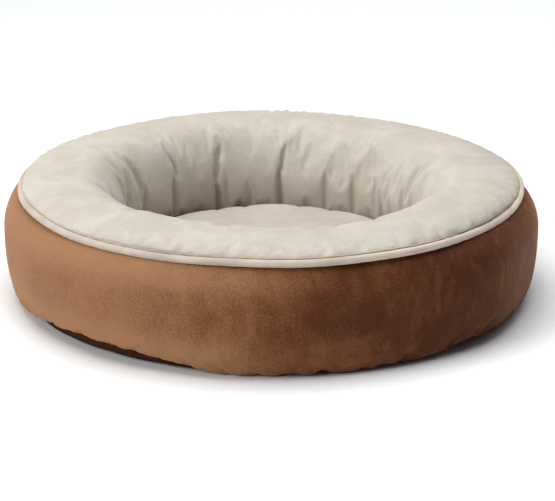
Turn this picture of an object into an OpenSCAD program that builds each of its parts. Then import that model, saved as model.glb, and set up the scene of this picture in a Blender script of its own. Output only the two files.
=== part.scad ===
// Round pet cushion bed: a stuffed bolster ring with a suede wall and a plush top, a piped
// top seam, a quilted base with grip dots, and a loose zipped cushion that lifts out of the well.
// Millimetres, +Z up. The origin is on the floor, under the centre of the bed.

/* [Bed] */
// Diameter across the widest part of the wall
bed_d = 510; // [480:5:560]
// Height of the widest part of the wall
girth_z = 70; // [60:1:76]
// Height of the highest part of the plush crown
crown_z = 120; // [114:1:135]
// Clear diameter of the well between the inner walls
well_d = 280; // [276:1:300]
// Diameter of the seam that joins the wall to the base
base_d = 464; // [450:2:470]

/* [Fabrics] */
// Thickness of the suede and of the base cloth
suede_t = 1.5; // [1:0.1:2]
// Thickness of the short pile plush
plush_t = 3; // [2:0.5:4]
// Thickness of the wadding that is quilted into the base
wadding_t = 6; // [3:1:8]
// Thickness of the cloth that lines the floor of the well
lining_t = 1; // [0.6:0.1:1.5]

/* [Piping] */
// Height of the piping's centre
piping_z = 105; // [98:1:108]
// Outside diameter of the piping
piping_d = 7; // [6:0.5:8]
// Diameter of the cord inside the piping
piping_core_d = 4.6; // [3:0.2:5]

/* [Grip dots] */
// Diameter of one grip dot
dot_d = 10; // [6:1:14]
// How far the dots stand down from the base
dot_h = 0.8; // [0.5:0.1:1.2]
// Number of rings of dots round the centre dot
dot_rings = 4; // [2:1:4]
// Distance from one ring of dots to the next
dot_pitch = 52; // [30:1:54]

/* [Cushion] */
// Diameter of the loose cushion
cushion_d = 274; // [260:1:274]
// Height of the boxing strip round the cushion
boxing_h = 24; // [20:1:30]
// How far the cushion's top rises above its boxing
cushion_crown = 17; // [10:1:22]

/* [Zip] */
// Length of the zip as an angle at the cushion's centre
zip_span = 100; // [60:5:140]
// Direction of the middle of the zip
zip_middle = 270; // [0:5:355]

/* [Hidden] */
$fn = 96;
bed_r = bed_d / 2;
well_r = well_d / 2;
base_r = base_d / 2;
arc_steps = 20;

// Bolster section
base_top = dot_h + suede_t;
lining_z = base_top + wadding_t;
floor_z = lining_z + lining_t;
piping_r = bed_r - 17.5;
piping_half = piping_d / 2;
flange_half = 0.6;
flange_in = 14;
seam_r = piping_r - piping_half + 1;
seam_gap = 2;
crown_r = bed_r - 69;
bulge_z = 62;
floor_seam_r = well_r + 17;
seam_allowance = 6;
lining_r = floor_seam_r + seam_allowance;
corner_power = 2.55;
shoulder_power = 2.2;
crown_power = 2.3;

// Loose cushion
cushion_gap = 0.3;
cushion_r = cushion_d / 2;
cushion_z = floor_z + cushion_gap;
underside_t = 1.2;
boxing_z = cushion_z + underside_t;
boxing_top = boxing_z + boxing_h;
boxing_in = cushion_r - plush_t;
pouch_r = boxing_in - 2;
pouch_t = 0.6;
pouch_crown = cushion_crown - plush_t - 0.2;
dome_power = 2.5;

// Zip
zip_z = boxing_z + boxing_h / 2;
zip_start = zip_middle - zip_span / 2;
tape_t = 0.8;
tape_edge = 0.6;
coil_in = boxing_in + tape_t;
coil_t = 1.6;
coil_low = 0.5;
coil_high = 2.4;
stop_angle = 1;
stop_inset = 1;
chain_start = zip_start + stop_inset + stop_angle;
chain_span = zip_span - 2 * (stop_inset + stop_angle);
slider_angle = 4;
slider_plate = 0.9;
slider_high = 3.6;
slider_gap = 0.2;

// Care label
label_w = 30;
label_l = 22;
label_t = 0.6;

// A quarter of a superellipse of radii a and b, from angle 0 (on the first axis) to 90
function quarter(a, b, power) =
    [for (i = [0 : arc_steps]) let (t = 90 * i / arc_steps)
        [a * pow(cos(t), 2 / power), b * pow(sin(t), 2 / power)]];

function reversed(points) = [for (i = [len(points) - 1 : -1 : 0]) points[i]];

// The wall's line, inset by t, from the base seam up to just under the piping
function wall_line(t) = concat(
    reversed([for (p = quarter(bed_r - base_r - t, girth_z - dot_h - t, corner_power))
        [base_r + p[0], girth_z - p[1]]]),
    [for (i = [1 : arc_steps]) let (u = i / arc_steps * (piping_z - seam_gap - girth_z) / (piping_z - girth_z))
        [bed_r - t - (bed_r - seam_r) * pow(u, shoulder_power), girth_z + (piping_z - girth_z) * u]]);

// The plush's line, inset by t, from the piping over the crown and down into the well
function plush_line(t) = concat(
    [for (p = quarter(seam_r - crown_r - t, crown_z - piping_z - flange_half - t, 2))
        [crown_r + p[0], piping_z + flange_half + p[1]]],
    [for (p = reversed(quarter(crown_r - well_r - t, crown_z - bulge_z - t, crown_power)))
        if (p[0] > 0) [crown_r - p[0], bulge_z + p[1]]],
    [for (p = quarter(floor_seam_r - well_r - t, bulge_z - floor_z - t, 2))
        if (p[1] > 0) [floor_seam_r - p[0], bulge_z - p[1]]],
    [[lining_r, floor_z + t]]);

// The cushion's dome inset by t, from its edge to the axis
function dome_line(r, rise) = [for (p = quarter(r, rise, dome_power)) [p[0], boxing_top + p[1]]];

module ring(points) {
    rotate_extrude(convexity = 6) polygon(points);
}

// A band round the axis: radii r1 to r2, heights z1 to z2, from one angle over a span
module band(r1, r2, z1, z2, from, span) {
    rotate([0, 0, from])
        rotate_extrude(angle = span, convexity = 4)
            translate([r1, z1]) square([r2 - r1, z2 - z1]);
}

module piping_disc(d) {
    translate([piping_r, piping_z]) circle(d = d, $fn = 48);
}

module flange() {
    translate([seam_r - flange_in, piping_z - flange_half])
        square([flange_in, 2 * flange_half]);
}

module wall_panel() {
    color("saddlebrown") rotate_extrude(convexity = 6)
        difference() {
            polygon(concat(wall_line(0), reversed(wall_line(suede_t))));
            piping_disc(piping_d);
        }
}

module top_panel() {
    color("ivory") rotate_extrude(convexity = 6)
        difference() {
            polygon(concat(plush_line(0), reversed(plush_line(plush_t))));
            piping_disc(piping_d);
        }
}

module piping_cover() {
    color("bisque") rotate_extrude(convexity = 6)
        difference() {
            union() {
                piping_disc(piping_d);
                flange();
            }
            piping_disc(piping_core_d);
        }
}

module piping_cord() {
    color("white") rotate_extrude() piping_disc(piping_core_d);
}

module bolster_fill() {
    color("whitesmoke") rotate_extrude(convexity = 6)
        difference() {
            polygon(concat([[lining_r, base_top]], wall_line(suede_t), plush_line(plush_t)));
            piping_disc(piping_d);
            flange();
        }
}

module base_panel() {
    color([0.22, 0.13, 0.09]) translate([0, 0, dot_h]) cylinder(r = base_r, h = suede_t);
}

module base_wadding() {
    color("white") translate([0, 0, base_top]) cylinder(r = lining_r, h = wadding_t);
}

module floor_lining() {
    color("linen") translate([0, 0, lining_z]) cylinder(r = lining_r, h = lining_t);
}

module grip_dots() {
    color("dimgray") {
        cylinder(d = dot_d, h = dot_h, $fn = 32);
        for (k = [1 : dot_rings], i = [0 : 6 * k - 1])
            rotate([0, 0, 60 * i / k + 15 * k])
                translate([dot_pitch * k, 0, 0])
                    cylinder(d = dot_d, h = dot_h, $fn = 32);
    }
}

// A folded woven tab, sewn into the base seam at the back
module care_label() {
    color("white") translate([-label_w / 2, base_r - seam_allowance, dot_h - label_t])
        cube([label_w, label_l, label_t]);
}

module cushion_top() {
    color("ivory")
        ring(concat(dome_line(cushion_r, cushion_crown),
                    reversed(dome_line(boxing_in, cushion_crown - plush_t))));
}

module cushion_boxing() {
    color("ivory")
        band(boxing_in, cushion_r, boxing_z, boxing_top, zip_start + zip_span, 360 - zip_span);
}

module cushion_underside() {
    color("linen") translate([0, 0, cushion_z]) cylinder(r = cushion_r, h = underside_t);
}

// The pouch's outline inset by t
function pouch_line(t) = concat(
    [[0, boxing_z + t], [pouch_r - t, boxing_z + t]],
    dome_line(pouch_r - t, pouch_crown - t));

module cushion_pouch() {
    color("gainsboro") ring(concat(pouch_line(0), reversed(pouch_line(pouch_t))));
}

module cushion_fill() {
    color("whitesmoke") ring(pouch_line(pouch_t));
}

module zip_tape_upper() {
    color("tan")
        band(boxing_in, boxing_in + tape_t, zip_z + tape_edge, boxing_top, zip_start, zip_span);
}

module zip_tape_lower() {
    color("tan")
        band(boxing_in, boxing_in + tape_t, boxing_z, zip_z - tape_edge, zip_start, zip_span);
}

module zip_coil_upper() {
    color("peru")
        band(coil_in, coil_in + coil_t, zip_z + coil_low, zip_z + coil_high, chain_start, chain_span);
}

module zip_coil_lower() {
    color("peru")
        band(coil_in, coil_in + coil_t, zip_z - coil_high, zip_z - coil_low, chain_start, chain_span);
}

// Two crimps, one on each tape, where the closed slider rests
module zip_top_stops() {
    color("silver")
        for (z = [coil_low + 0.2, -coil_high])
            band(coil_in, coil_in + coil_t, zip_z + z, zip_z + z + coil_high - coil_low - 0.2,
                 zip_start + stop_inset, stop_angle);
}

// One crimp across both tapes, where the zip ends when it is open
module zip_bottom_stop() {
    color("silver")
        band(coil_in, coil_in + coil_t, zip_z - coil_high, zip_z + coil_high,
             zip_start + zip_span - stop_inset - stop_angle, stop_angle);
}

// A slider with no pull tab: two plates, the web between them, side flanges and a lug
module zip_slider() {
    back_out = boxing_in - slider_gap;
    front_in = coil_in + coil_t + slider_gap;
    web_half = coil_low - slider_gap / 2;
    from = chain_start + 0.5;
    color("silver") union() {
        band(back_out - slider_plate, back_out, zip_z - slider_high, zip_z + slider_high, from, slider_angle);
        band(back_out - slider_plate / 2, front_in + slider_plate / 2, zip_z - web_half, zip_z + web_half,
             from + 1, slider_angle - 2);
        band(front_in, front_in + slider_plate, zip_z - slider_high, zip_z + slider_high, from, slider_angle);
        for (z = [coil_high + slider_gap, -slider_high])
            band(front_in - 1, front_in + slider_plate / 2, zip_z + z,
                 zip_z + z + slider_high - coil_high - slider_gap, from, slider_angle);
        band(front_in + slider_plate / 2, front_in + slider_plate + 0.9, zip_z - 1, zip_z + 1,
             from + 0.8, slider_angle - 1.6);
    }
}

wall_panel();
top_panel();
piping_cover();
piping_cord();
bolster_fill();
base_panel();
base_wadding();
floor_lining();
grip_dots();
care_label();
cushion_top();
cushion_boxing();
cushion_underside();
cushion_pouch();
cushion_fill();
zip_tape_upper();
zip_tape_lower();
zip_coil_upper();
zip_coil_lower();
zip_top_stops();
zip_bottom_stop();
zip_slider();
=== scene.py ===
"""The looks of a round pet cushion bed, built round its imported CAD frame. Metres, +Z up.

The bolster's skins are one Cloth simulation on a grid that closes round the axis: each ring of points is
a row, and the seams are rows. The panels are then cut out of it along those rows, and the pieces inside
follow it. The loose cushion is made the same way.
"""

import math

import bpy
import numpy as np
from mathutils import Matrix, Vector


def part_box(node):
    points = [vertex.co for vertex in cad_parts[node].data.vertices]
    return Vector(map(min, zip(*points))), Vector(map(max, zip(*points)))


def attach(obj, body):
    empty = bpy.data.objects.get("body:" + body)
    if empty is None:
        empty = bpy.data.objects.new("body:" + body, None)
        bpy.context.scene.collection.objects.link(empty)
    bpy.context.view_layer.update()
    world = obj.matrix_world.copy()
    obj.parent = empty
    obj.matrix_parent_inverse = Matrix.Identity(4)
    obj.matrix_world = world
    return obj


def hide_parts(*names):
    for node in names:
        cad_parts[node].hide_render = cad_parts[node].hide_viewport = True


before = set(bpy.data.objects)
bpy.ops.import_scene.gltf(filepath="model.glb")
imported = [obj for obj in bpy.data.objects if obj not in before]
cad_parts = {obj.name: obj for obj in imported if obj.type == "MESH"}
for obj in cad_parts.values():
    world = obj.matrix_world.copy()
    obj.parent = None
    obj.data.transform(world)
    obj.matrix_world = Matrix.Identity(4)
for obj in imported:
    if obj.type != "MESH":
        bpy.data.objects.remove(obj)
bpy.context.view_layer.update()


# ---- Sizes that come from the frame


def polar(node):
    """The radii and heights of a CAD node's vertices."""
    co = np.array([v.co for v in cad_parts[node].data.vertices])
    return np.hypot(co[:, 0], co[:, 1]), co[:, 2]


wall_radii, wall_heights = polar("wall_panel")
top_radii, top_heights = polar("top_panel")
boxing_radii, boxing_heights = polar("cushion_boxing")
dome_heights = polar("cushion_top")[1]
pouch_radii, pouch_heights = polar("cushion_pouch")
pipe_low, pipe_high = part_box("piping_cover")
cord_low, cord_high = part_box("piping_cord")
base_low, base_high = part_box("base_panel")
lining_low, lining_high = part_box("floor_lining")
label_low, label_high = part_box("care_label")
under_low, under_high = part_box("cushion_underside")

BED_R = wall_radii.max()
GIRTH_Z = wall_heights[wall_radii.argmax()]
CROWN_Z = top_heights.max()
CROWN_R = top_radii[top_heights.argmax()]
WELL_R = top_radii.min()
BULGE_Z = top_heights[top_radii.argmin()]
PIPING = (pipe_high.z - pipe_low.z) / 2
PIPING_R = pipe_high.x - PIPING
PIPING_Z = (pipe_high.z + pipe_low.z) / 2
CORD = (cord_high.z - cord_low.z) / 2
BASE_R = base_high.x
BASE_Z = base_low.z
FLOOR_Z = lining_high.z
LINING_R = lining_high.x
SEAM_ALLOWANCE = 0.006
FLOOR_SEAM_R = LINING_R - SEAM_ALLOWANCE
CUSHION_R = boxing_radii.max()
BOXING_LOW = boxing_heights.min()
RIM_Z = boxing_heights.max()
DOME_Z = dome_heights.max()
COIL_R = polar("zip_coil_upper")[0].min()
COIL_T = polar("zip_coil_upper")[0].max() - COIL_R
TAPE_OUTSIDE_R = polar("zip_tape_upper")[0].max()

# Cloth thicknesses, and the arc that the zip takes of the cushion's side.
SUEDE_T = 0.0015
PLUSH_T = 0.0026
# Layers that lie on each other are this far apart.
GAP = 0.0004
ZIP_MIDDLE = math.radians(270)
ZIP_HALF = math.radians(50)
# How full each stuffed piece is, as a share of its own volume.
BOLSTER_FILL, CUSHION_FILL, POUCH_FILL, WADDING_FILL = 0.85, 0.7, 0.6, 0.5
# Each random draw starts from SEED or from a number of its own after it.
SEED = 11


# ---- Camera, floor and light

CAMERA_ORBITS = Vector((0, 0, 0.06))
CAMERA_DISTANCE = 2.5
CAMERA_ELEVATION = math.radians(18.1)
CAMERA_POINTS_AT = Vector((0.0065, 0, 0.0375))
FOCAL_LENGTH_MM = 168.8
SENSOR_WIDTH_MM = 36
LIGHTS_POINT_AT = Vector((0, 0, 0.05))
FLOOR_HALF = 6
AROUND_LIGHT = 0.08


def make_camera():
    data = bpy.data.cameras.new("camera")
    data.lens = FOCAL_LENGTH_MM
    data.sensor_width = SENSOR_WIDTH_MM
    data.clip_end = 5 * FLOOR_HALF
    camera = bpy.data.objects.new("camera", data)
    back = Vector((0, -math.cos(CAMERA_ELEVATION), math.sin(CAMERA_ELEVATION)))
    camera.location = CAMERA_ORBITS + back * CAMERA_DISTANCE
    camera.rotation_euler = (CAMERA_POINTS_AT - camera.location).to_track_quat("-Z", "Y").to_euler()
    bpy.context.scene.collection.objects.link(camera)
    bpy.context.scene.camera = camera


def soft_box(name, at, side, power, colour=(1, 1, 1)):
    """A square light of that side, its power in watts, turned to the bed."""
    data = bpy.data.lights.new(name, "AREA")
    data.shape = "SQUARE"
    data.size = side
    data.energy = power
    data.color = colour
    light = bpy.data.objects.new(name, data)
    light.location = at
    light.rotation_euler = (LIGHTS_POINT_AT - light.location).to_track_quat("-Z", "Y").to_euler()
    bpy.context.scene.collection.objects.link(light)


def make_studio():
    make_camera()
    soft_box("left_key", (-2.2, -1.5, 1.25), 1.3, 46, (0.975, 0.985, 1))
    soft_box("top_softbox", (-0.2, 0.1, 2.4), 2.4, 71)
    soft_box("back_softbox", (1.5, 1.6, 1.5), 1.5, 10)
    world = bpy.data.worlds.new("studio")
    world.use_nodes = True
    background = world.node_tree.nodes["Background"]
    background.inputs["Color"].default_value = (1, 1, 1, 1)
    background.inputs["Strength"].default_value = AROUND_LIGHT
    bpy.context.scene.world = world
    bpy.context.scene.view_settings.view_transform = "Standard"
    corners = [(-1, -1, 0), (1, -1, 0), (1, 1, 0), (-1, 1, 0)]
    floor = make_mesh("floor", FLOOR_HALF * np.array(corners), [(0, 1, 2, 3)])
    floor.data.materials.append(floor_paper())


# ---- Mesh helpers


def make_mesh(name, points, faces, uv=None):
    """A smooth mesh object. uv gives each point's place on the flat cloth, in metres."""
    mesh = bpy.data.meshes.new(name)
    points = np.asarray(points, float).reshape(-1, 3).tolist()
    mesh.from_pydata(points, [], [tuple(int(k) for k in f) for f in faces])
    mesh.polygons.foreach_set("use_smooth", [True] * len(mesh.polygons))
    if uv is not None:
        corners = np.zeros(len(mesh.loops), np.int32)
        mesh.loops.foreach_get("vertex_index", corners)
        uv = np.asarray(uv, np.float32).reshape(-1, 2)[corners]
        mesh.uv_layers.new(name="cloth").data.foreach_set("uv", uv.ravel())
    piece = bpy.data.objects.new(name, mesh)
    bpy.context.scene.collection.objects.link(piece)
    return piece


def grid_faces(rows, columns, closed=True):
    """Quads between rows of points. closed joins each row's end to its start."""
    i, j = np.meshgrid(np.arange(rows - 1), np.arange(columns if closed else columns - 1), indexing="ij")
    a = i * columns + j
    b = i * columns + (j + 1) % columns
    return stacked(a, b, b + columns, a + columns).reshape(-1, 4)


def ring_faces(rows, columns):
    """Quads over a grid that closes on itself both ways."""
    return grid_faces(rows + 1, columns) % (rows * columns)


def edge_strip(edge, count):
    """Quads from a closed line of points to the same line on the layer behind, count points further on."""
    edge = np.asarray(edge)
    after = np.roll(edge, -1)
    return stacked(edge, edge + count, after + count, after)


def patch_edge(rows, columns):
    """The points round a grid that doesn't close, in order."""
    count = rows * columns
    return [*range(columns), *range(2 * columns - 1, count, columns),
            *range(count - 2, count - columns - 1, -1), *range(count - 2 * columns, 0, -columns)]


def fan(row, middle):
    """Triangles from a closed row of points to its middle."""
    return stacked(row, np.roll(row, -1), np.full(len(row), middle))


def stacked(*parts):
    """The parts as the last axis of one array, each repeated to the shape of the others."""
    return np.stack(np.broadcast_arrays(*parts), -1)


def angles(count):
    return np.arange(count) / count * 2 * math.pi


def around(radius, turn, height):
    """Points at these radii, angles and heights."""
    return stacked(radius * np.cos(turn), radius * np.sin(turn), height)


def swept(section, count):
    """A section of (radius, height) turned round the axis: rows by columns by 3."""
    return around(section[:, :1], angles(count), section[:, 1:])


def radii_of(grid):
    return np.hypot(grid[..., 0], grid[..., 1])


def at_radius(grid, radius):
    """The grid with each point moved to that radius, at its own angle and height."""
    scale = radius / radii_of(grid)
    return grid * stacked(scale, scale, 1)


def quarter(a, b, power, steps=60):
    """A quarter of a superellipse of radii a and b, from its first axis to its second."""
    t = np.linspace(0, math.pi / 2, steps)
    return stacked(a * np.cos(t) ** (2 / power), b * np.sin(t) ** (2 / power))


def evenly(line, count):
    """The line again with count points, evenly spaced along it."""
    along = np.r_[0, np.cumsum(np.linalg.norm(np.diff(line, axis=0), axis=1))]
    at = np.linspace(0, along[-1], count)
    return stacked(*(np.interp(at, along, line[:, k]) for k in range(line.shape[1])))


def smoothstep(low, high, x):
    t = np.clip((x - low) / (high - low), 0, 1)
    return t * t * (3 - 2 * t)


def fading(low, high, x):
    """1 up to low, and 0 from high on."""
    return 1 - smoothstep(low, high, x)


def normals(grid):
    """Unit normals of a grid, away from the stuffing, and smoothed so that an inner layer stays tidy."""
    along = np.roll(grid, -1, axis=1) - np.roll(grid, 1, axis=1)
    n = np.cross(along, np.gradient(grid, axis=0))
    for _ in range(3):
        n = n / np.maximum(np.linalg.norm(n, axis=2, keepdims=True), 1e-12)
        n = n + np.roll(n, 1, axis=1) + np.roll(n, -1, axis=1)
        n[1:-1] = n[1:-1] + n[:-2] + n[2:]
    return n / np.linalg.norm(n, axis=2, keepdims=True)


def cloth_uv(grid):
    """Each point's place on the flat cloth: along the row and down the section, in metres."""
    middle = len(grid) // 2
    along = np.linalg.norm(grid[middle], axis=1).mean() * 2 * math.pi
    u = np.arange(grid.shape[1]) / grid.shape[1] * along
    v = np.r_[0, np.cumsum(np.linalg.norm(np.diff(grid[:, 0], axis=0), axis=1))]
    return stacked(u, v[:, None])


def two_layers(name, face, back, strips, uv=None, closed=True, middles=()):
    """A closed piece from a grid and the grid behind it. strips are the faces that join the two, and middles
    are more points for them. uv is the face's, and the back's as well."""
    rows, columns = face.shape[:2]
    quads = grid_faces(rows, columns, closed)
    points = np.concatenate([face.reshape(-1, 3), back.reshape(-1, 3), *middles])
    uv = points[:, :2] if uv is None else np.concatenate([uv, uv])
    return make_mesh(name, points, [*quads, *quads[:, ::-1] + rows * columns, *strips], uv)


def panel(name, grid, thickness):
    """A closed panel of cloth: the grid is its face, and its back is thickness behind that."""
    count = grid.shape[0] * grid.shape[1]
    first = np.arange(grid.shape[1])
    last = first + count - len(first)
    strips = [*edge_strip(first, count), *edge_strip(last, count)[:, ::-1]]
    return two_layers(name, grid, grid - normals(grid) * thickness, strips, cloth_uv(grid))


def capped_panel(name, grid, thickness):
    """A closed panel whose last row closes on the axis."""
    back = grid - normals(grid) * thickness
    back[0] = at_radius(grid[0], radii_of(grid[0]) - thickness)
    count = grid.shape[0] * grid.shape[1]
    first = np.arange(grid.shape[1])
    last = first + count - len(first)
    strips = [*edge_strip(first, count), *fan(last, 2 * count), *fan(last + count, 2 * count + 1)[:, ::-1]]
    return two_layers(name, grid, back, strips, middles=(grid[-1:].mean(1), back[-1:].mean(1)))


def solid_disc(name, under, upper):
    """A closed disc from its lower and its upper face, each from the middle out."""
    rows, columns = under.shape[:2]
    count = rows * columns
    rim = edge_strip(np.arange(count - columns, count), count)[:, ::-1]
    return two_layers(name, under, upper, [*rim, range(columns)[::-1], range(count, count + columns)])


def capped(name, grid):
    """A closed solid from a grid whose first and last rows each close on a middle point."""
    rows, columns = grid.shape[:2]
    count = rows * columns
    ring = np.arange(columns)
    faces = [*grid_faces(rows, columns), *fan(ring, count)[:, ::-1], *fan(ring + count - columns, count + 1)]
    points = np.concatenate([grid.reshape(-1, 3), grid[:1].mean(1), grid[-1:].mean(1)])
    return make_mesh(name, points, faces, points[:, :2])


def tube(path, radius, sides, closed=True):
    """Points and faces of a round tube along a path. It closes on itself, or ends in flat caps."""
    path = np.asarray(path, float)
    if closed:
        along = np.roll(path, -1, axis=0) - np.roll(path, 1, axis=0)
    else:
        along = np.gradient(path, axis=0)
    along = along / np.linalg.norm(along, axis=1, keepdims=True)
    side = np.cross(along, (0, 0, 1.0))
    side = side / np.linalg.norm(side, axis=1, keepdims=True)
    up = np.cross(side, along)
    turn = angles(sides)[None, :, None]
    points = path[:, None] + radius * (np.cos(turn) * side[:, None] + np.sin(turn) * up[:, None])
    rings = len(path)
    if closed:
        return points, ring_faces(rings, sides)[:, ::-1]
    caps = [range(sides), range((rings - 1) * sides, rings * sides)[::-1]]
    return points, [*grid_faces(rings, sides)[:, ::-1], *caps]


def joined(name, parts):
    """One object from several lots of points and faces."""
    points, faces, first = [], [], 0
    for part_points, part_faces in parts:
        points.append(part_points.reshape(-1, 3))
        faces += [[k + first for k in f] for f in part_faces]
        first += len(points[-1])
    return make_mesh(name, np.concatenate(points), faces)


# A stitch's section along its length: (place, width), as shares of its length and of its thread's radius.
STITCH = ((-0.5, 0.35), (-0.3, 0.9), (0, 1), (0.3, 0.9), (0.5, 0.35))
STITCH_SIDES = 6
STITCH_STEPS = 10


def stitch_row(path, length, gap, radius, closed=True):
    """Short sunk threads along a path, one after another: the points and faces of each."""
    path = np.asarray(path, float)
    loop = np.concatenate([path, path[:1]]) if closed else path
    total = np.linalg.norm(np.diff(loop, axis=0), axis=1).sum()
    count = int(total / (length + gap))
    line = evenly(loop, count * STITCH_STEPS + 1)
    turn = angles(STITCH_SIDES)[:, None]
    caps = [range(STITCH_SIDES), range((len(STITCH) - 1) * STITCH_SIDES, len(STITCH) * STITCH_SIDES)[::-1]]
    faces = [*grid_faces(len(STITCH), STITCH_SIDES)[:, ::-1], *caps]
    parts = []
    for a, b in zip(line[:-1:STITCH_STEPS], line[STITCH_STEPS - 1::STITCH_STEPS]):
        middle, along = (a + b) / 2, (b - a) / np.linalg.norm(b - a)
        side = np.cross(along, (0, 0, 1.0))
        side /= np.linalg.norm(side)
        thread = radius * (np.cos(turn) * side + np.sin(turn) * np.cross(side, along))
        parts.append((np.concatenate([middle + along * s * length + w * thread for s, w in STITCH]), faces))
    return parts


# ---- Materials


class Look:
    """A material's nodes, wired one after another. Places are object coordinates, in metres."""

    def __init__(self, name, colour, roughness, sheen=0.0, sheen_roughness=0.5, sheen_tint=(1, 1, 1),
                 metallic=0.0, specular=0.5):
        self.material = bpy.data.materials.new(name)
        self.material.use_nodes = True
        self.tree = self.material.node_tree
        self.shader = self.tree.nodes["Principled BSDF"]
        self.set("Base Color", (*colour, 1))
        self.set("Roughness", roughness)
        self.set("Sheen Weight", sheen)
        self.set("Sheen Roughness", sheen_roughness)
        self.set("Sheen Tint", (*sheen_tint, 1))
        self.set("Metallic", metallic)
        self.set("Specular IOR Level", specular)
        self.place = self.add("ShaderNodeTexCoord").outputs["Object"]
        self.cloth = self.add("ShaderNodeUVMap", uv_map="cloth").outputs["UV"]
        self.height = None

    def set(self, socket, value):
        self.shader.inputs[socket].default_value = value

    def add(self, kind, **settings):
        node = self.tree.nodes.new(kind)
        for key, value in settings.items():
            setattr(node, key, value)
        return node

    def give(self, socket, value):
        """Links a node's output to a socket, or sets the socket to a plain value."""
        if isinstance(value, bpy.types.NodeSocket):
            self.tree.links.new(value, socket)
        else:
            socket.default_value = value

    def feed(self, node, **inputs):
        for key, value in inputs.items():
            self.give(node.inputs[key], value)
        return node

    def noise(self, scale, detail=3.0, roughness=0.55, stretch=None, distortion=0.0):
        """Noise from about 0.3 to 0.7. scale is in cells a metre, and stretch multiplies it by axis."""
        place = self.place
        if stretch:
            mapping = self.add("ShaderNodeMapping")
            self.feed(mapping, Vector=place, Scale=stretch)
            place = mapping.outputs["Vector"]
        node = self.add("ShaderNodeTexNoise")
        self.feed(node, Vector=place, Scale=scale, Detail=detail, Roughness=roughness, Distortion=distortion)
        return node.outputs["Fac"]

    def axes(self, vector):
        parts = self.add("ShaderNodeSeparateXYZ")
        self.feed(parts, Vector=vector)
        return parts.outputs

    def spread(self, value, low, high, to_low=0.0, to_high=1.0):
        node = self.add("ShaderNodeMapRange", interpolation_type="SMOOTHSTEP")
        self.feed(node, Value=value)
        for key, number in (("From Min", low), ("From Max", high), ("To Min", to_low), ("To Max", to_high)):
            node.inputs[key].default_value = number
        return node.outputs["Result"]

    def maths(self, operation, a, b=0.0):
        node = self.add("ShaderNodeMath", operation=operation)
        self.give(node.inputs[0], a)
        self.give(node.inputs[1], b)
        return node.outputs[0]

    def mix(self, share, a, b):
        """Colour a where share is 0, colour b where it is 1."""
        node = self.add("ShaderNodeMix", data_type="RGBA")
        for k, value in ((0, share), (6, a), (7, b)):
            self.give(node.inputs[k], (*value, 1) if isinstance(value, tuple) else value)
        return node.outputs[2]

    def paint(self, colour):
        self.tree.links.new(colour, self.shader.inputs["Base Color"])

    def rough(self, value):
        self.tree.links.new(value, self.shader.inputs["Roughness"])

    def bump(self, height, distance, strength=1.0):
        """Adds a layer of bump, distance metres deep."""
        node = self.add("ShaderNodeBump")
        self.feed(node, Height=height, Distance=distance, Strength=strength)
        if self.height is not None:
            self.tree.links.new(self.height, node.inputs["Normal"])
        self.height = node.outputs["Normal"]
        self.tree.links.new(self.height, self.shader.inputs["Normal"])

    def weave(self, threads, round_the_axis=False):
        """A plain weave, threads a metre each way: its height, 0 to 1. It lies on the flat cloth, or on a
        band round the Z axis that has no flat places."""
        across, along, height = self.axes(self.place if round_the_axis else self.cloth)
        if round_the_axis:
            across = self.maths("MULTIPLY", self.maths("ARCTAN2", along, across), COIL_R)
            along = height
        turns = math.pi * threads
        warp = self.maths("SINE", self.maths("MULTIPLY", across, turns))
        weft = self.maths("SINE", self.maths("MULTIPLY", along, turns))
        return self.spread(self.maths("MULTIPLY", warp, weft), -1, 1)


def suede_brown():
    """Brushed suede cloth, mottled and grained. It is painted tan on the left side and chocolate toward the
    right: painted light from the left and painted shade to the right. It is also painted darker across the
    middle of its height, with painted highlight streaks at the right end.
    """
    look = Look("suede_brown", (0.2, 0.1, 0.05), 0.82, sheen=0.34, sheen_roughness=0.35,
                sheen_tint=(1, 0.54, 0.34), specular=0.12)
    x, _, z = look.axes(look.place)
    # Painted light and shade: lighter toward the left side, where the key light falls, and darker toward the
    # right.
    painted_light_sweep = look.spread(x, -0.26, 0.2, 0.05, 0.92)
    # Painted shade: darker across the middle of the wall's height than at its top and bottom, and darker
    # toward the right.
    middle = look.maths("MULTIPLY", look.spread(z, 0.018, 0.05), look.spread(z, 0.098, 0.066))
    middle = look.maths("MAXIMUM", middle, look.spread(x, 0, 0.14))
    patches = look.spread(look.noise(8, 3, 0.5, stretch=(1, 1, 1.6), distortion=0.9), 0.3, 0.7, -0.14, 0.14)
    brushed = look.spread(look.noise(42, 4, 0.65, stretch=(1, 1, 0.5), distortion=0.7), 0.3, 0.7, -0.1, 0.1)
    grain = look.spread(look.noise(700, 4, 0.8), 0.34, 0.66, -0.17, 0.17)
    nap_and_painted_light = look.maths("ADD", painted_light_sweep, look.maths("MULTIPLY", look.maths("SUBTRACT", middle, 0.6), 0.32))
    mottle = look.maths("MULTIPLY", look.maths("ADD", patches, brushed),
                        look.spread(x, -0.24, 0.12, 0.4, 1.35))
    # Painted highlights: lighter streaks at the right end, where light grazes the suede.
    streaks = look.spread(look.noise(110, 4, 0.7, stretch=(1, 1, 0.35), distortion=0.4), 0.36, 0.72)
    painted_highlight_streaks = look.maths("MULTIPLY", streaks, look.spread(x, 0.06, 0.21, 0, -0.42))
    nap_and_painted_light = look.maths("ADD", nap_and_painted_light, look.maths("ADD", mottle, look.maths("ADD", painted_highlight_streaks, grain)))
    darker = look.maths("MULTIPLY", look.spread(nap_and_painted_light, -0.1, 1.1), 2)
    tan_to_chestnut = look.mix(darker, (0.322, 0.166, 0.082), (0.2, 0.079, 0.032))
    look.paint(look.mix(look.maths("SUBTRACT", darker, 1), tan_to_chestnut, (0.088, 0.025, 0.0085)))
    look.rough(look.spread(patches, -0.14, 0.14, 0.88, 0.74))
    look.bump(look.noise(60, 3, 0.5), 0.0006, 0.5)
    look.bump(look.noise(700, 4, 0.75), 0.00035, 0.8)
    return look.material


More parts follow.
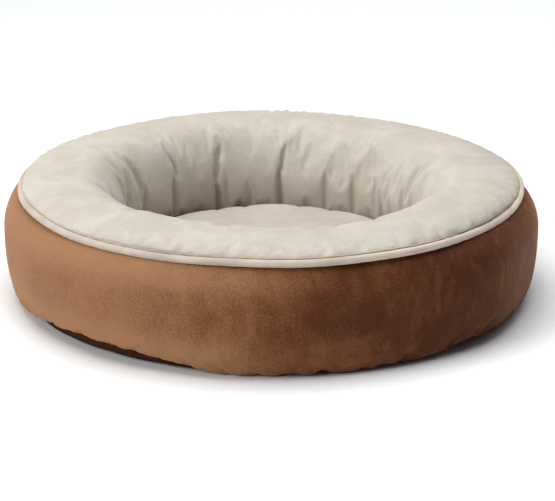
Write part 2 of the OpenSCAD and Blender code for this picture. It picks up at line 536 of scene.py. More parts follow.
def plush_cream():
    """Short cream plush, with painted shade that makes it a little darker low in the well."""
    look = Look("plush_cream", (0.5, 0.47, 0.41), 0.95, sheen=0.2, sheen_roughness=0.6,
                sheen_tint=(1, 0.97, 0.92), specular=0.1)
    clumps = look.spread(look.noise(30, 4, 0.6, distortion=0.5), 0.36, 0.66)
    pile = look.spread(look.noise(520, 3, 0.7), 0.34, 0.68)
    cream = look.mix(clumps, (0.525, 0.482, 0.407), (0.588, 0.556, 0.488))
    # Painted shade: a darker cream low in the well, below the crown.
    painted_shade_cream = look.mix(clumps, (0.455, 0.408, 0.335), (0.505, 0.463, 0.392))
    cream = look.mix(look.spread(look.axes(look.place)["Z"], 0.048, 0.078), painted_shade_cream, cream)
    look.paint(look.mix(look.maths("MULTIPLY", pile, 0.34), cream, (0.44, 0.393, 0.322)))
    look.bump(look.noise(30, 4, 0.6, distortion=0.5), 0.0008, 0.35)
    look.bump(look.noise(300, 5, 0.8), 0.0007, 0.75)
    return look.material


def piping_cloth():
    look = Look("piping_cloth", (0.80, 0.68, 0.57), 0.8, sheen=0.2, sheen_roughness=0.5, specular=0.25)
    # Painted light: the piping is painted lighter toward the right side, where less key light falls, with
    # random tone on top.
    side = look.spread(look.axes(look.place)["X"], -0.1, 0.24, 0, 0.45)
    tone_and_painted_light = look.maths("ADD", side, look.spread(look.noise(30, 3, 0.6), 0.3, 0.7, 0.05, 0.35))
    look.paint(look.mix(tone_and_painted_light, (0.42, 0.362, 0.31), (0.84, 0.713, 0.575)))
    look.bump(look.weave(1800), 0.00012, 0.6)
    look.bump(look.noise(90, 3, 0.6), 0.0004, 0.5)
    return look.material


def woven_cloth(name, dark, light, threads, depth=0.0002, round_the_axis=False):
    """A plain woven cloth of two close shades."""
    look = Look(name, light, 0.92, specular=0.06)
    thread = look.weave(threads, round_the_axis)
    uneven = look.spread(look.noise(160, 3, 0.6), 0.2, 0.8)
    shade = look.maths("ADD", look.maths("MULTIPLY", thread, 0.5), look.maths("MULTIPLY", uneven, 0.5))
    look.paint(look.mix(shade, dark, light))
    look.bump(look.noise(45, 3, 0.6), 0.0005, 0.35)
    look.bump(thread, depth, 0.8)
    return look.material


def fibre(name, dark, light, scale=260):
    """Loose or bonded fibre, as in stuffing, wadding and non-woven cloth."""
    look = Look(name, light, 1.0, sheen=0.1, specular=0.1)
    strands = look.spread(look.noise(scale, 5, 0.7, distortion=2.5), 0.35, 0.65)
    look.paint(look.mix(strands, dark, light))
    look.bump(strands, 0.0008, 0.7)
    return look.material


def moulded(name, dark, light, roughness, metallic=0.0, grain=900, depth=0.00005):
    """A hard surface with a fine grain, duller where it has wear."""
    look = Look(name, light, roughness, metallic=metallic, specular=0.5)
    wear = look.spread(look.noise(140, 4, 0.6), 0.35, 0.68)
    look.paint(look.mix(wear, dark, light))
    look.rough(look.spread(wear, 0, 1, roughness * 0.8, min(1.0, roughness * 1.2)))
    look.bump(look.noise(grain, 3, 0.6), depth, 0.6)
    return look.material


def floor_paper():
    look = Look("floor_paper", (0.92, 0.92, 0.92), 0.9, specular=0.1)
    look.paint(look.mix(look.noise(3, 2, 0.5), (0.953, 0.97, 0.977), (0.965, 0.982, 0.988)))
    return look.material


def place(piece, body, slot, material, *nodes):
    """Gives a piece its material and its body, and hides the CAD nodes that it stands for. slot is not used.
    """
    piece.data.materials.clear()
    piece.data.materials.append(material)
    if nodes:
        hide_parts(*nodes)
    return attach(piece, body)


def dress(node, material, bevel=None):
    """A better material on a CAD node that stays, and a small bevel on its edges if it is hard."""
    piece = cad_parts[node]
    piece.data.materials.clear()
    piece.data.materials.append(material)
    if bevel:
        soft_edges = piece.modifiers.new("soft_edges", "BEVEL")
        soft_edges.width = bevel
        soft_edges.segments = 3
        soft_edges.limit_method = "ANGLE"


LOOKS = {
    "suede": suede_brown(),
    "plush": plush_cream(),
    "piping": piping_cloth(),
    "tan_thread": fibre("tan_thread", (0.7, 0.57, 0.43), (0.8, 0.68, 0.54), 900),
    "cream_thread": fibre("cream_thread", (0.62, 0.56, 0.46), (0.8, 0.75, 0.66), 900),
    "fill": fibre("polyester_fill", (0.7, 0.7, 0.69), (0.86, 0.86, 0.85)),
    "cotton": fibre("cotton_cord", (0.66, 0.62, 0.54), (0.82, 0.79, 0.72), 600),
    "pouch": fibre("nonwoven_pouch", (0.68, 0.68, 0.68), (0.84, 0.84, 0.84), 380),
    "base": woven_cloth("base_cloth", (0.028, 0.009, 0.003), (0.062, 0.022, 0.008), 1100),
    "lining": woven_cloth("lining_cloth", (0.5, 0.43, 0.34), (0.68, 0.61, 0.51), 1200),
    "label": woven_cloth("label_tape", (0.66, 0.65, 0.62), (0.85, 0.84, 0.82), 2600, 0.00008),
    "tape": woven_cloth("zip_tape", (0.42, 0.33, 0.24), (0.6, 0.5, 0.39), 1500, 0.00012, True),
    "rubber": moulded("grip_rubber", (0.035, 0.035, 0.036), (0.06, 0.06, 0.062), 0.62, grain=1400),
    "nylon": moulded("zip_nylon", (0.36, 0.25, 0.16), (0.52, 0.4, 0.28), 0.42, grain=2600),
    "metal": moulded("zip_metal", (0.36, 0.355, 0.34), (0.52, 0.51, 0.49), 0.3, metallic=1.0, grain=2200),
}


# ---- The bolster's section

# The top seam's radius, the well's at its bulge, and the least that leaves room for the cushion.
SEAM_R = PIPING_R - PIPING + 0.001
INNER_R = WELL_R + 0.004
CLEAR_R = CUSHION_R + 0.002
# The powers of the superellipses that the section follows, where 2 is an ellipse.
WALL_POWER = 2.55
CROWN_POWER = 2.15
INNER_POWER = 2.2
# The plush lies on the piping from its inner side up to this angle, in degrees.
LEAVES_PIPING_AT = 108
AROUND = 320
WALL_ROWS = 27
TOP_ROWS = 44
# How far up the wall, and how far over the top, each row of the bolster's grid is, from 0 to 1.
UP = np.r_[np.linspace(0, 1, WALL_ROWS), np.ones(TOP_ROWS - 1)]
OVER = np.r_[np.zeros(WALL_ROWS), np.linspace(0, 1, TOP_ROWS)[1:]]


def wall_section():
    """Radius and height from the base seam, over the girth, up to the piping."""
    low = quarter(BED_R - BASE_R, GIRTH_Z - BASE_Z, WALL_POWER)[::-1]
    low = stacked(BASE_R + low[:, 0], GIRTH_Z - low[:, 1])
    u = np.linspace(0, 1, 60)[1:]
    high = stacked(BED_R - (BED_R - SEAM_R) * u ** 2.2, GIRTH_Z + (PIPING_Z - GIRTH_Z) * u)
    return evenly(np.concatenate([low, high]), WALL_ROWS)


def top_section():
    """Radius and height from the piping, over the crown, down to the seam with the well's floor."""
    beside = np.radians(np.linspace(180, LEAVES_PIPING_AT, 9))
    hug = stacked(PIPING_R + PIPING * np.cos(beside), PIPING_Z + PIPING * np.sin(beside))
    leave_r, leave_z = hug[-1]
    out = quarter(leave_r - CROWN_R, CROWN_Z - leave_z, CROWN_POWER)
    out = np.concatenate([hug, stacked(CROWN_R + out[1:, 0], leave_z + out[1:, 1])])
    inner = quarter(CROWN_R - INNER_R, CROWN_Z - BULGE_Z, INNER_POWER)[::-1]
    inner = stacked(CROWN_R - inner[:, 0], BULGE_Z + inner[:, 1])
    low = quarter(FLOOR_SEAM_R - INNER_R, BULGE_Z - FLOOR_Z, 2)
    low = stacked(FLOOR_SEAM_R - low[:, 0], BULGE_Z - low[:, 1])
    return evenly(np.concatenate([out, inner[1:], low[1:]]), TOP_ROWS)


# ---- Cloth


def simulate(name, cut, goal, faces, hold, frames, pressure, bending, gather=12):
    """Cloth that starts in the shape it was cut to, and is sewn into its goal shape over gather frames.

    hold is how firmly each point is pulled to its goal, 0 to 1. Returns the points at the last frame."""
    piece = make_mesh(name, cut, faces)
    group = piece.vertex_groups.new(name="hold")
    hold = np.round(hold, 3).ravel()
    for weight in np.unique(hold):
        if weight > 0:
            group.add([int(k) for k in np.flatnonzero(hold == weight)], float(weight), "REPLACE")
    piece.shape_key_add(name="Cut")
    key = piece.shape_key_add(name="Sewn")
    key.data.foreach_set("co", goal.astype(np.float32).ravel())
    for frame_number, value in ((1, 0), (1 + gather, 1)):
        key.value = value
        key.keyframe_insert("value", frame=frame_number)
    cloth = piece.modifiers.new("Cloth", "CLOTH")
    s = cloth.settings
    s.quality = 6
    s.mass = 0.3
    s.air_damping = 2
    s.tension_stiffness = s.compression_stiffness = 40
    s.shear_stiffness = 13.3
    s.bending_stiffness = bending
    s.tension_damping = s.compression_damping = s.shear_damping = 10
    s.vertex_group_mass = "hold"
    s.pin_stiffness = 1
    s.use_pressure = True
    s.uniform_pressure_force = pressure
    s.effector_weights.gravity = 0
    cloth.collision_settings.use_collision = False
    cloth.collision_settings.use_self_collision = False
    cloth.point_cache.frame_start = 1
    cloth.point_cache.frame_end = frames
    scene = bpy.context.scene
    for frame_number in range(1, frames + 1):
        scene.frame_set(frame_number)
    held = piece.evaluated_get(bpy.context.evaluated_depsgraph_get()).to_mesh()
    result = np.zeros(len(held.vertices) * 3, np.float32)
    held.vertices.foreach_get("co", result)
    bpy.data.objects.remove(piece)
    scene.frame_set(1)
    return result.reshape(cut.shape).astype(float)


def random_wave(rng, low, high, count):
    """A wave round the axis of low to high - 1 crests, mixed at random. Its standard deviation is 1."""
    turn = angles(count)
    wave = sum(rng.normal() * np.cos(k * turn + rng.uniform(0, 2 * math.pi)) for k in range(low, high))
    return wave / wave.std()


def keep_section(cloth, section):
    """Moves each row so that its mean stays on the section. The folds stay as they are."""
    turn = angles(cloth.shape[1])
    across = cloth[..., 0] * np.cos(turn) + cloth[..., 1] * np.sin(turn)
    along = cloth[..., 1] * np.cos(turn) - cloth[..., 0] * np.sin(turn)
    across += section[:, :1] - across.mean(1, keepdims=True)
    height = cloth[..., 2] + section[:, 1:] - cloth[..., 2].mean(1, keepdims=True)
    return stacked(across * np.cos(turn) - along * np.sin(turn),
                     across * np.sin(turn) + along * np.cos(turn), height)


def cut_longer(section, gather):
    """The section with each ring longer by its gather, and each row as far from the next as before."""
    radii = section[:, 0] * gather
    step = np.linalg.norm(np.diff(section, axis=0), axis=1)
    rise = np.sqrt(np.clip(step ** 2 - np.diff(radii) ** 2, 1e-10, None)) * np.sign(np.diff(section[:, 1]))
    return stacked(radii, section[0, 1] + np.r_[0, np.cumsum(rise)])


def section_normals(section):
    along = np.gradient(section, axis=0)
    out = stacked(along[:, 1], -along[:, 0])
    return out / np.linalg.norm(out, axis=1, keepdims=True)


def resampled(grid, rows, columns):
    """The grid on smooth curves with other numbers of rows and columns."""
    waves = np.fft.rfft(grid, axis=1)
    wide = np.fft.irfft(waves, n=columns, axis=1) * columns / grid.shape[1]
    at = np.linspace(0, len(grid) - 1, rows)
    k = np.minimum(at.astype(int), len(grid) - 2)
    t = (at - k)[:, None, None]
    a, b, c, d = (wide[np.clip(k + n, 0, len(grid) - 1)] for n in (-1, 0, 1, 2))
    return b + 0.5 * t * (c - a + t * (2 * a - 5 * b + 4 * c - d + t * (3 * (b - c) + d - a)))


# ---- The bolster

# Where the folds that reach the crown are, in degrees, then the puckers in the lower edge and the notches in
# the crown's inner edge at the front, each with its width and depth.
CREASES = (9, 18, 26, 33, 39.5, 43.5, 55, 68, 79, 86, 108, 113, 131, 150, 163, 184, 201, 222, 239, 256, 282,
           289, 303, 321, 334, 349)
CREASE_WIDTH, CREASE_DEPTH = 0.0042, 0.0055
PUCKERS = (31, 68, 104, 133, 171, 275, 281, 294, 299, 341)
PUCKER_WIDTH, PUCKER_HEIGHT, PUCKER_DEPTH = 0.0045, 0.0024, 0.0022
NOTCHES = (256, 282, 289, 303)
NOTCH_WIDTH, NOTCH_DEPTH = 0.0048, 0.0095
# The stretches of lower edge that stand off the floor, and the sag of the crown at the back right.
LIFT_FROM, LIFT_TO = math.radians(197), math.radians(258)
LIFT = 0.0155
SMALL_LIFT_AT, SMALL_LIFT_WIDTH = math.radians(317), math.radians(13)
SMALL_LIFT = 0.0045
SAG_AT, SAG_WIDTH = math.radians(68), math.radians(29)
SAG = 0.0058
# The dips and smaller lumps round the bolster, up and down and in and out. The lifted edge spreads outward by
# SPREAD of its lift, and the wall's top row is drawn in under the piping by TUCK.
DIP_UP, LUMP_UP = 0.0012, 0.0006
DIP_OUT, LUMP_OUT = 0.0009, 0.0007
SPREAD = 0.46
TUCK = 0.0016
# How much longer than its seams the cloth is cut: into the well, at the base seam and at the piping.
WELL_GATHER, BASE_GATHER, PIPING_GATHER = 0.1, 0.014, 0.004
# The sunk seam at the wall's back, and the soft ridge on each side of it.
SEAM_DEPTH, SEAM_HALF = 0.0017, 0.0024
RIDGE, RIDGE_OUT, RIDGE_HALF = 0.0006, 0.008, 0.005


def edge_lift(turn):
    """How far the lower edge stands off the floor at each angle, most of all at the left front."""
    share = np.clip((turn - LIFT_FROM) / (LIFT_TO - LIFT_FROM), 0, 1)
    main = np.sin(math.pi * share) ** 0.9
    ruffle = 1 + 0.04 * np.sin(31 * turn) + 0.025 * np.sin(57 * turn + 1)
    small = fading(0.2, 1, np.abs(turn - SMALL_LIFT_AT) / SMALL_LIFT_WIDTH)
    return LIFT * main * ruffle + SMALL_LIFT * small


def marks(at_degrees, width, radius, turn):
    """1 on each of these angles, falling away over width metres at that radius."""
    away = np.abs((turn[..., None] - np.radians(at_degrees) + math.pi) % (2 * math.pi) - math.pi) * radius
    return np.exp(-(away / width) ** 2).sum(-1)


def bolster_cloth():
    """The wall and the top as one grid, from the base seam round to the seam with the well's floor."""
    section = np.concatenate([wall_section(), top_section()[1:]])
    up, over = UP, OVER
    gather = 1 + WELL_GATHER * smoothstep(0.22, 0.8, over) + BASE_GATHER * fading(0, 0.45, up)
    gather += PIPING_GATHER * smoothstep(0.7, 1, up) * fading(0, 0.15, over)
    rng = np.random.default_rng(SEED)
    seed_wave = random_wave(rng, 18, 50, AROUND)
    wander = random_wave(rng, 3, 9, AROUND) * math.radians(1.5)
    depth = 0.0012 * smoothstep(0.3, 0.65, over) * fading(0.97, 1, over)
    depth += 0.0003 * fading(0.1, 0.6, up) * smoothstep(0, 0.1, up)
    lean = angles(AROUND)[None, :] + wander[None, :] * (over[:, None] - 0.4)
    reach = smoothstep(0.12, 0.56, over) * fading(0.93, 1, over)
    crease = marks(CREASES, CREASE_WIDTH, CROWN_R, lean) * reach[:, None]
    shape = depth[:, None] * seed_wave[None, :] - CREASE_DEPTH * crease
    flat = swept(section, AROUND)
    goal = flat + shape[..., None] * swept(section_normals(section), AROUND)
    hold = 0.03 - 0.015 * smoothstep(0.2, 0.5, over)[:, None] + 0.1 * np.clip(crease, 0, 1)
    hold[[0, WALL_ROWS - 1, -1]] = 1
    cut = swept(cut_longer(section, gather), AROUND)
    faces = grid_faces(len(section), AROUND)
    cloth = simulate("bolster_cloth", cut, goal, faces, hold, frames=28, pressure=50, bending=6)
    return keep_section(cloth, section)


def settled(grid):
    """The bolster's grid as it stands: dips round it, its crown sagging at the back right, its lower edge
    lifted, clear of cushion and floor."""
    rng = np.random.default_rng(SEED + 1)
    turn = angles(AROUND)
    up, over = UP[:, None], OVER[:, None]
    dips = random_wave(rng, 2, 7, AROUND)
    lumps = random_wave(rng, 6, 17, AROUND)
    free = smoothstep(0, 0.3, up) * (1 - smoothstep(0.8, 1, up) * fading(0, 0.2, over))
    free = free * fading(0.9, 1, over)
    crown = smoothstep(0.12, 0.34, over) * fading(0.6, 0.8, over)
    height = DIP_UP * dips * smoothstep(0.5, 1, up) * fading(0.6, 1, over) + LUMP_UP * lumps * crown
    sagging = np.exp(-((turn - SAG_AT) / SAG_WIDTH) ** 2) * smoothstep(0.015, 0.09, over)
    height = height - SAG * sagging * fading(0.55, 0.9, over)
    lift = edge_lift(turn)
    pucker = marks(PUCKERS, PUCKER_WIDTH, BASE_R, turn)
    height = height + lift * fading(0, 0.5, up)
    height = height + PUCKER_HEIGHT * pucker * fading(0, 0.16, up)
    out = (DIP_OUT * dips + LUMP_OUT * lumps) * free + SPREAD * lift * fading(0, 0.22, up)
    out = out - PUCKER_DEPTH * pucker * smoothstep(0, 0.04, up) * fading(0.06, 0.24, up)
    out = out - TUCK * smoothstep(0.9, 0.97, up) * fading(0, 0.02, over)
    notch = marks(NOTCHES, NOTCH_WIDTH, CROWN_R, turn) * smoothstep(0.28, 0.48, over)
    notch = notch * fading(0.66, 0.86, over)
    grid = grid - NOTCH_DEPTH * notch[..., None] * normals(grid)
    wanted = radii_of(grid) + out
    wanted = np.where(over > 0.5, CLEAR_R + soft_floor(wanted - CLEAR_R, 0.0012), wanted)
    grid = at_radius(grid, wanted)
    grid[..., 2] += height
    lowest = BASE_Z - 0.0002
    grid[..., 2] = lowest + soft_floor(grid[..., 2] - lowest, 0.0004)
    return grid


def soft_floor(x, width):
    """x, but rounded off over width so that it never goes under 0."""
    return 0.5 * (x + np.sqrt(x * x + width * width))


def round_piping(grid, gap):
    """The grid pushed out of the piping, which it then lies against."""
    across, height = radii_of(grid) - PIPING_R, grid[..., 2] - PIPING_Z
    away = np.maximum(np.hypot(across, height), 1e-6)
    push = np.maximum((PIPING + gap) / away, 1)
    grid = at_radius(grid, PIPING_R + across * push)
    grid[..., 2] = PIPING_Z + height * push
    return grid


def back_seam(grid):
    """A sunk seam down the back of the wall, where the strip of suede closes on itself."""
    turn = angles(grid.shape[1])
    up = np.linspace(0, 1, len(grid))[:, None]
    away = np.abs(turn - math.pi / 2) * BED_R
    depth = SEAM_DEPTH * np.exp(-(away / SEAM_HALF) ** 2)
    ridge = RIDGE * np.exp(-((away - RIDGE_OUT) / RIDGE_HALF) ** 2)
    depth = depth - ridge * (1 + 0.5 * np.sin(60 * up))
    depth = depth * smoothstep(0, 0.06, up) * fading(0.86, 0.95, up)
    return grid - normals(grid) * depth[..., None]


def make_bolster():
    """The wall and the top, cut out of the simulated cloth, and the fibre inside them."""
    cloth = settled(bolster_cloth())
    wall = back_seam(round_piping(resampled(cloth[:WALL_ROWS], 58, 640), 0.0001))
    top = round_piping(resampled(cloth[WALL_ROWS - 1:], 86, 540), 0.0001)
    wall = place(panel("wall_suede", wall, SUEDE_T), "bed", "suede_brown", LOOKS["suede"], "wall_panel")
    top = place(panel("top_plush", top, PLUSH_T), "bed", "plush_cream", LOOKS["plush"], "top_panel")
    make_stuffing(cloth)
    return cloth


def make_stuffing(cloth):
    """The fibre that fills the bolster, just inside the skins and round the piping's flange."""
    columns = 240
    skin = resampled(cloth, 72, columns)
    inset = SUEDE_T + (PLUSH_T - SUEDE_T) * smoothstep(22, 30, np.arange(len(skin)))[:, None, None]
    inner = skin - normals(skin) * (inset + 1.5 * GAP)
    low = BASE_Z + SUEDE_T + GAP
    inner[..., 2] = np.maximum(inner[..., 2], low)
    beside = LINING_R + 0.0005
    floor_ring = swept(np.array([[beside, FLOOR_Z], [beside, low], [(LINING_R + BASE_R) / 2, low]]), columns)
    loop = round_piping(np.concatenate([inner[:-3], floor_ring]), GAP)
    piece = make_mesh("bolster_stuffing", loop, ring_faces(len(loop), columns))
    place(piece, "bed", "polyester_fill", LOOKS["fill"], "bolster_fill")


# ---- Piping

# The flange that is sewn into the seam, its length and thickness. Then the thread: how far inside the cord's
# middle and above it, and its radius.
FLANGE, FLANGE_T = 0.014, 0.0012
THREAD_IN, THREAD_UP, THREAD = 0.0017, 0.0041, 0.0009
# How far the piping wanders from its circle, and the share that it swells by where the cloth is fuller.
SWAY, SWELL = 0.0003, 0.016


def make_piping():
    """The piping's cover, with its flange and the hollow for its cord, and the thread beside it."""
    rng = np.random.default_rng(SEED + 2)
    columns = 720
    turn = angles(columns)
    sway_out = SWAY * random_wave(rng, 3, 14, columns)
    sway_up = SWAY * random_wave(rng, 3, 14, columns)
    swell = 1 + SWELL * random_wave(rng, 30, 110, columns)
    open_half = math.asin(FLANGE_T / 2 / PIPING)
    circle = np.linspace(math.pi - open_half, -math.pi + open_half, 21)
    flange_end = SEAM_R - FLANGE - PIPING_R
    outer = PIPING * stacked(np.cos(circle), np.sin(circle))
    outer = np.array([(flange_end, FLANGE_T / 2), *outer, (flange_end, -FLANGE_T / 2)])
    grow = np.where(outer[:, :1] < flange_end / 2, 1, swell)
    cover = around(PIPING_R + outer[:, :1] * grow + sway_out, turn, PIPING_Z + outer[:, 1:] * grow + sway_up)
    hollow_r = CORD + 0.0002
    circle = angles(12)[:, None]
    hollow = around(PIPING_R + hollow_r * np.cos(circle) + 0.3 * sway_out, turn,
                    PIPING_Z + hollow_r * np.sin(circle) + 0.3 * sway_up)
    parts = [(cover[::-1], ring_faces(len(cover), columns)),
             (hollow, ring_faces(len(hollow), columns)[:, ::-1])]
    place(joined("piping", parts), "bed", "piping_cloth", LOOKS["piping"], "piping_cover")
    line = around(PIPING_R - THREAD_IN + sway_out, turn, PIPING_Z + THREAD_UP + sway_up)
    points, faces = tube(line, THREAD, 6)
    place(make_mesh("seam_thread", points, faces), "bed", "suede_brown", LOOKS["tan_thread"])


# ---- Base, wadding and the well's floor

# The rings of quilting: how far apart, how deep, and how wide to each side.
QUILT_PITCH = 0.052
QUILT_DEPTH = 0.0032
QUILT_HALF = 0.0085


def quilt_dip(radius):
    """1 on a ring of quilting, falling to 0 between the rings."""
    ring = radius / QUILT_PITCH - 0.5
    away = np.abs(ring - np.round(ring)) * QUILT_PITCH
    inside = (radius > 0.3 * QUILT_PITCH) & (radius < FLOOR_SEAM_R)
    return np.exp(-(away / QUILT_HALF) ** 2) * inside


def disc_radii(out):
    """Radii from near the middle out, about 2.6 mm apart."""
    return np.linspace(0.004, out, int(out / 0.0026))


def make_base(cloth):
    """The base cloth: flat on its dots, and drawn up at its rim to the wall's lower seam."""
    seam = resampled(cloth[:2], 2, 360)[0]
    turn = angles(360)
    rim_from = BASE_R - 0.014
    t = np.linspace(0, 1, 9)[1:]
    flat = disc_radii(rim_from)
    grid = swept(stacked(flat, BASE_Z + 0.0005 * quilt_dip(flat)), 360)
    curve = np.array([(math.sin(a) ** (2 / 3), 1 - math.cos(a) ** (2 / 3)) for a in t * math.pi / 2])
    lifted = smoothstep(0, 0.004, edge_lift(turn))
    scallop = (0.0016 * np.abs(np.sin(14 * turn)) + 0.0009 * np.sin(9 * turn)) * lifted
    near_rim = smoothstep(rim_from - 0.03, rim_from, flat)[:, None]
    grid = at_radius(grid, radii_of(grid) * (1 + scallop / rim_from * near_rim))
    radius = rim_from + (radii_of(seam) - rim_from - GAP) * curve[:, :1] + scallop * (1 - t[:, None])
    height = BASE_Z + (seam[:, 2] - BASE_Z + 0.0003) * curve[:, 1:]
    grid = np.concatenate([grid, around(radius, turn, height)])
    piece = solid_disc("base_cloth", grid, grid + (0, 0, SUEDE_T))
    place(piece, "bed", "base_cloth", LOOKS["base"], "base_panel")


def make_floor_of_well():
    """The cloth that lines the well, sewn down through its wadding in rings, with the stitches."""
    radii = disc_radii(LINING_R)
    dip = quilt_dip(radii)
    edge = smoothstep(FLOOR_SEAM_R - 0.012, FLOOR_SEAM_R, radii)
    under = lining_low.z - QUILT_DEPTH * np.maximum(dip, 0.6 * edge)
    rng = np.random.default_rng(SEED + 3)
    grid = swept(stacked(radii, under), 300)
    ripple = random_wave(rng, 9, 34, 300)[None, :] * (np.maximum(dip, edge) * (1 - dip))[:, None]
    grid[..., 2] -= 0.0005 * np.abs(ripple)
    lining = solid_disc("floor_cloth", grid, grid + (0, 0, lining_high.z - lining_low.z))
    place(lining, "bed", "lining_cloth", LOOKS["lining"], "floor_lining")
    low = swept(stacked(radii, BASE_Z + SUEDE_T + 0.0006 * dip), 180)
    high = swept(stacked(radii, under - GAP), 180)
    wadding = solid_disc("quilted_wadding", low, high)
    place(wadding, "bed", "polyester_fill", LOOKS["fill"], "base_wadding")
    stitches = []
    for ring in (0.5, 1.5, 2.5):
        line = around(ring * QUILT_PITCH, angles(240), lining_high.z - QUILT_DEPTH + 0.0001)
        stitches += stitch_row(line, length=0.0032, gap=0.0016, radius=0.00035)
    place(joined("quilting_stitches", stitches), "bed", "lining_cloth", LOOKS["cream_thread"])


def make_label():
    """A blank woven tab, folded over at its outer end, with its two ends sewn in at the base seam."""
    width = label_high.x - label_low.x
    layer = (label_high.z - label_low.z) * 0.42
    long = np.linspace(label_low.y, label_high.y - 0.0006, 14)
    curl = 0.0016 * smoothstep(0.4, 1, (long - long[0]) / (long[-1] - long[0])) ** 2
    low = stacked(long, label_low.z + curl)
    high = stacked(long, label_high.z - layer + 1.1 * curl)[::-1]
    bend = (label_high.y, (low[-1, 1] + high[0, 1]) / 2)
    line = np.array([*low, bend, *high])
    across = np.linspace(-width / 2, width / 2, 9)
    outer, inner = (stacked(across, side[:, :1], side[:, 1:])
                    for side in (line, line - 0.9 * layer * section_normals(line)))
    rows, columns = outer.shape[:2]
    uv = stacked(across, 0.0015 * np.arange(rows)[:, None])
    strips = edge_strip(patch_edge(rows, columns), rows * columns)
    label = two_layers("blank_label", inner, outer, strips, uv, closed=False)
    place(label, "bed", "label_tape", LOOKS["label"], "care_label")


# ---- The loose cushion

# The simulated part of the dome ends this far from the axis, and the cap rows carry it on to the middle.
DOME_IN = 0.03
DOME_ROWS = 26
DOME_AROUND = 240
DOME_CAP_ROWS = 9
# How much longer than its rim seam the dome's cloth is cut, and the depth of the waves that it starts from.
RIM_GATHER = 0.045
RIM_WAVE = 0.001


def zip_fade(turn, margin):
    """1 away from the zip, and 0 along it. The change takes margin radians."""
    away = np.abs((turn - ZIP_MIDDLE + math.pi) % (2 * math.pi) - math.pi)
    return smoothstep(ZIP_HALF, ZIP_HALF + margin, away)


def dome_cloth():
    """The cushion's top from its rim seam to near the middle, where the rest of the dome follows on."""
    dome = quarter(CUSHION_R, DOME_Z - RIM_Z, 2.5)
    dome = stacked(dome[:, 0], RIM_Z + dome[:, 1])
    dome = dome[dome[:, 0] > DOME_IN]
    section = evenly(dome, DOME_ROWS)
    s = np.linspace(0, 1, DOME_ROWS)
    rng = np.random.default_rng(SEED + 4)
    flat = swept(section, DOME_AROUND)
    wave = random_wave(rng, 12, 34, DOME_AROUND)
    depth = RIM_WAVE * smoothstep(0, 0.1, s) * fading(0.15, 0.5, s)
    goal = flat + depth[:, None, None] * wave[None, :, None] * swept(section_normals(section), DOME_AROUND)
    gather = 1 + RIM_GATHER * fading(0.05, 0.6, s)
    cut = swept(cut_longer(section, gather), DOME_AROUND)
    hold = 0.05 + 0.25 * smoothstep(0.5, 1, s)
    hold[[0, -1]] = 1
    hold = np.repeat(hold[:, None], DOME_AROUND, 1)
    faces = grid_faces(DOME_ROWS, DOME_AROUND)
    cloth = simulate("dome_cloth", cut, goal, faces, hold, frames=22, pressure=20, bending=9, gather=10)
    return keep_section(cloth, section)


def rim_radius(turn):
    """The rim seam's radius, drawn in a little between puckers but true along the zip."""
    rng = np.random.default_rng(SEED + 5)
    pucker = np.abs(random_wave(rng, 26, 60, len(turn)))
    return CUSHION_R - (0.0004 + 0.0004 * np.minimum(pucker, 2)) * zip_fade(turn, 0.3)


def make_dome():
    """The cushion's plush top: the simulated cloth, and the rows that carry it on to the middle."""
    cloth = resampled(dome_cloth(), 52, 480)
    s = np.linspace(0, 1, len(cloth))
    radius = radii_of(cloth)
    pull = (rim_radius(angles(480)) - radius) * fading(0, 0.08, s)[:, None]
    cloth = at_radius(cloth, radius + pull)
    share = np.linspace(1, 0.12, DOME_CAP_ROWS + 1)[1:, None]
    last = cloth[-1]
    height = last[:, 2] + (DOME_Z - GAP - last[:, 2]) * (1 - share ** 2.5)
    cap = stacked(last[:, 0] * share, last[:, 1] * share, height)
    cloth = np.concatenate([cloth, cap])
    inside = np.r_[smoothstep(0, 0.25, s), np.ones(len(cap))][:, None]
    cloth[..., 2] -= dent(cloth[..., 0], cloth[..., 1]) * inside
    piece = capped_panel("cushion_plush", cloth, PLUSH_T)
    place(piece, "cushion", "plush_cream", LOOKS["plush"], "cushion_top")
    return cloth


def dent(x, y):
    """Soft hollows where something has lain on the cushion."""
    broad = 0.0032 * np.exp(-(((x - 0.012) / 0.075) ** 2 + ((y + 0.01) / 0.055) ** 2))
    side = 0.0018 * np.exp(-(((x + 0.06) / 0.03) ** 2 + ((y - 0.045) / 0.04) ** 2))
    return broad + side + 0.0009 * np.sin(38 * x + 1.2) * np.sin(33 * y + 0.4)


def make_boxing():
    """The plush strip round the side, from one end of the zip round to the other."""
    columns, rows = 420, 16
    turn = ZIP_MIDDLE + ZIP_HALF + np.linspace(0, 2 * math.pi - 2 * ZIP_HALF, columns)
    up = np.linspace(0, 1, rows)[:, None]
    whole = angles(720)
    rng = np.random.default_rng(SEED + 7)
    wave, rim = (np.interp(turn % (2 * math.pi), whole, line, period=2 * math.pi)
                 for line in (random_wave(rng, 18, 52, 720), rim_radius(whole)))
    belly = 4 * up * (1 - up)
    radius = rim + (0.0009 * belly + 0.0005 * wave * belly ** 0.5) * zip_fade(turn, 0.22)
    height = BOXING_LOW + (RIM_Z - BOXING_LOW) * up
    face = around(radius, turn, height)
    uv = stacked(turn * CUSHION_R, height)
    strips = edge_strip(patch_edge(rows, columns), rows * columns)
    back = at_radius(face, radius - PLUSH_T)
    piece = two_layers("cushion_boxing_strip", face, back, strips, uv, closed=False)
    place(piece, "cushion", "plush_cream", LOOKS["plush"], "cushion_boxing")


def make_underside():
    radii = disc_radii(CUSHION_R - 0.0002)
    rng = np.random.default_rng(SEED + 8)
    grid = swept(stacked(radii, under_low.z), 300)
    rim = smoothstep(CUSHION_R - 0.02, CUSHION_R, radii)[:, None]
    grid[..., 2] += 0.0003 * rim * np.abs(random_wave(rng, 20, 60, 300))
    thickness = 0.92 * (under_high.z - under_low.z)
    piece = solid_disc("cushion_underside_cloth", grid, grid + (0, 0, thickness))
    place(piece, "cushion", "lining_cloth", LOOKS["lining"], "cushion_underside")


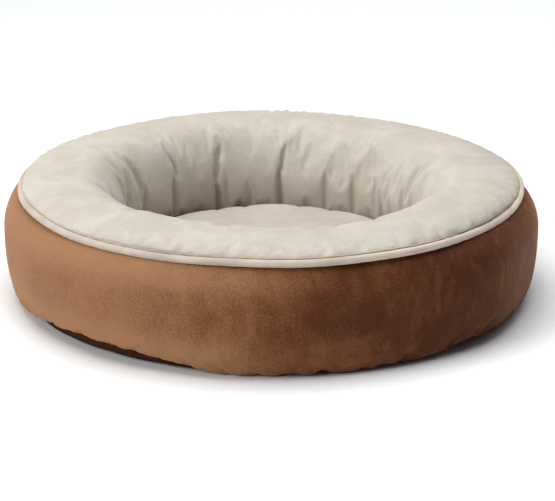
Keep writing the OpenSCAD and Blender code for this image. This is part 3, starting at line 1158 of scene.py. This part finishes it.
def make_pouch(dome):
    """The inner pouch that holds the fibre, and the fibre itself, lumpy under the cover."""
    layers = (("inner_pouch", 0.0006, "nonwoven_pouch", "pouch", "cushion_pouch", POUCH_FILL),
              ("cushion_stuffing", 0.0016, "polyester_fill", "fill", "cushion_fill", CUSHION_FILL))
    for name, gap, slot, look, node, fill in layers:
        top = resampled(dome[:-DOME_CAP_ROWS], 26, 200)
        side_r = pouch_radii.max() - gap
        fitted = top * (1, 1, 0) * (side_r / CUSHION_R * (1 - 0.1 * gap))
        fitted[..., 2] = top[..., 2] - PLUSH_T - gap - 0.0016 * smoothstep(0.1, 0.135, radii_of(top))
        low = pouch_heights.min() + gap
        side = swept(np.array([[side_r - 0.006, low], [side_r - 0.0012, low + 0.0012], [side_r, low + 0.006],
                               [side_r, (low + RIM_Z) / 2], [side_r, RIM_Z - 0.005]]), 200)
        floor = swept(np.array([[r, low] for r in np.linspace(0.01, side_r - 0.02, 8)]), 200)
        piece = capped(name, np.concatenate([floor, side, fitted]))
        place(piece, "cushion", slot, LOOKS[look], node)


# ---- The zip

# The coil's wire radius, the length of one turn along the tape, and the points in a turn.
ZIP_WIRE = 0.0003
COIL_PITCH = 0.0014
COIL_STEPS = 12


def zip_coil(name, phase):
    """A monofilament wound along the tape's edge, inside its CAD band."""
    low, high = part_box(name)
    radii = polar(name)[0]
    co = np.array([v.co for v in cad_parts[name].data.vertices])
    turn = np.unwrap(np.sort(np.arctan2(co[:, 1], co[:, 0]) % (2 * math.pi)))
    first, last = turn.min() + 0.004, turn.max() - 0.004
    middle_r = (radii.min() + radii.max()) / 2
    pitch = COIL_PITCH / middle_r
    along = np.linspace(first, last, int((last - first) / pitch * COIL_STEPS))
    wind = (along - first) / pitch * 2 * math.pi + phase
    radius = middle_r + (COIL_T / 2 - ZIP_WIRE) * np.cos(wind)
    height = (low.z + high.z) / 2 + ((high.z - low.z) / 2 - ZIP_WIRE) * np.sin(wind)
    points, faces = tube(around(radius, along, height), ZIP_WIRE, 6, closed=False)
    piece = make_mesh(name.replace("zip_", "wound_"), points, faces)
    place(piece, "cushion", "zip_nylon", LOOKS["nylon"], name)


def make_zip():
    """The coils, the finish of the CAD's tapes and metal parts, and the rows of stitches on the tapes."""
    zip_coil("zip_coil_upper", 0)
    zip_coil("zip_coil_lower", math.pi)
    for node in ("zip_tape_upper", "zip_tape_lower"):
        dress(node, LOOKS["tape"])
    for node in ("zip_top_stops", "zip_bottom_stop", "zip_slider"):
        dress(node, LOOKS["metal"], bevel=0.00022)
    turn = np.linspace(ZIP_MIDDLE - ZIP_HALF + 0.01, ZIP_MIDDLE + ZIP_HALF - 0.01, 200)
    stitches = []
    for height in (RIM_Z - 0.0025, BOXING_LOW + 0.0025):
        line = around(TAPE_OUTSIDE_R + 0.0001, turn, height)
        stitches += stitch_row(line, length=0.003, gap=0.0014, radius=0.0003, closed=False)
    place(joined("zip_stitches", stitches), "cushion", "lining_cloth", LOOKS["cream_thread"])


# ---- Putting it together

make_studio()
bolster = make_bolster()
make_piping()
make_base(bolster)
make_floor_of_well()
make_label()
dress("piping_cord", LOOKS["cotton"])
dress("grip_dots", LOOKS["rubber"], bevel=0.0003)
make_pouch(make_dome())
make_boxing()
make_underside()
make_zip()

bpy.context.view_layer.update()
